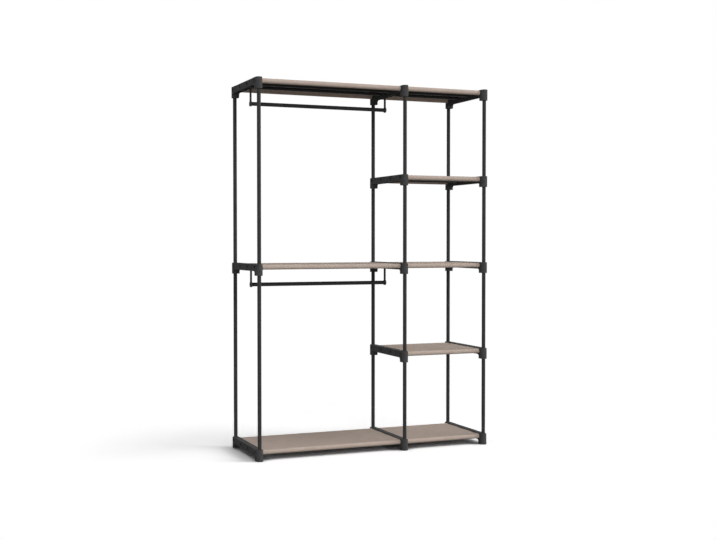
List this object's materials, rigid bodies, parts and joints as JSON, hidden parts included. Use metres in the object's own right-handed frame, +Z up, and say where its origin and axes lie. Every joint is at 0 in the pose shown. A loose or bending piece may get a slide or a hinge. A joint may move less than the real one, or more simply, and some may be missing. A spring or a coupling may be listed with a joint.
{
  "type": "open closet organiser",
  "caption": "Free-standing wardrobe of steel tubes and moulded side rails: fabric shelves in a wide and a narrow bay, hanging rods in the wide bay.",
  "frame": {"origin": "on the floor under the middle of the whole wardrobe", "axes": "+X to the right seen from the front, +Y to the back, +Z up; the wide hanging bay is on the -X side"},
  "size_m": [1.2394, 0.432, 1.82],
  "materials": {
    "tube": "satin black powder coat",
    "moulding": "black, lightly textured",
    "plug": "black, smooth matt",
    "cloth": "taupe non-woven cloth with an embossed grain"
  },
  "bodies": {
    "frame": {"rail_left_bottom": "moulding", "rail_left_middle": "moulding", "rail_left_top": "moulding", "rail_centre_bottom": "moulding", "rail_centre_low": "moulding", "rail_centre_middle": "moulding", "rail_centre_high": "moulding", "rail_centre_top": "moulding", "rail_right_bottom": "moulding", "rail_right_low": "moulding", "rail_right_middle": "moulding", "rail_right_high": "moulding", "rail_right_top": "moulding", "post_left_front_1": "tube", "post_left_front_2": "tube", "post_left_back_1": "tube", "post_left_back_2": "tube", "post_centre_front_1": "tube", "post_centre_front_2": "tube", "post_centre_front_3": "tube", "post_centre_front_4": "tube", "post_centre_back_1": "tube", "post_centre_back_2": "tube", "post_centre_back_3": "tube", "post_centre_back_4": "tube", "post_right_front_1": "tube", "post_right_front_2": "tube", "post_right_front_3": "tube", "post_right_front_4": "tube", "post_right_back_1": "tube", "post_right_back_2": "tube", "post_right_back_3": "tube", "post_right_back_4": "tube", "foot_plugs": "plug", "top_plugs": "plug", "tubes_wide_bottom": "tube", "tubes_wide_middle": "tube", "tubes_wide_top": "tube", "tubes_narrow_bottom": "tube", "tubes_narrow_low": "tube", "tubes_narrow_middle": "tube", "tubes_narrow_high": "tube", "tubes_narrow_top": "tube", "shelf_wide_bottom": "cloth", "shelf_wide_middle": "cloth", "shelf_wide_top": "cloth", "shelf_narrow_bottom": "cloth", "shelf_narrow_low": "cloth", "shelf_narrow_middle": "cloth", "shelf_narrow_high": "cloth", "shelf_narrow_top": "cloth", "hanger_left_middle": "moulding", "hanger_centre_middle": "moulding", "hanger_left_top": "moulding", "hanger_centre_top": "moulding"},
    "lower_rod": {"rod_middle": "tube"},
    "upper_rod": {"rod_top": "tube"}
  },
  "joints": [
    {"name": "lower_rod_turn", "type": "hinge", "parent": "frame", "child": "lower_rod", "pos_m": [-0.22325, 0, 0.8335], "axis": [1, 0, 0], "continuous": true},
    {"name": "upper_rod_turn", "type": "hinge", "parent": "frame", "child": "upper_rod", "pos_m": [-0.22325, 0, 1.716], "axis": [1, 0, 0], "continuous": true}
  ]
}
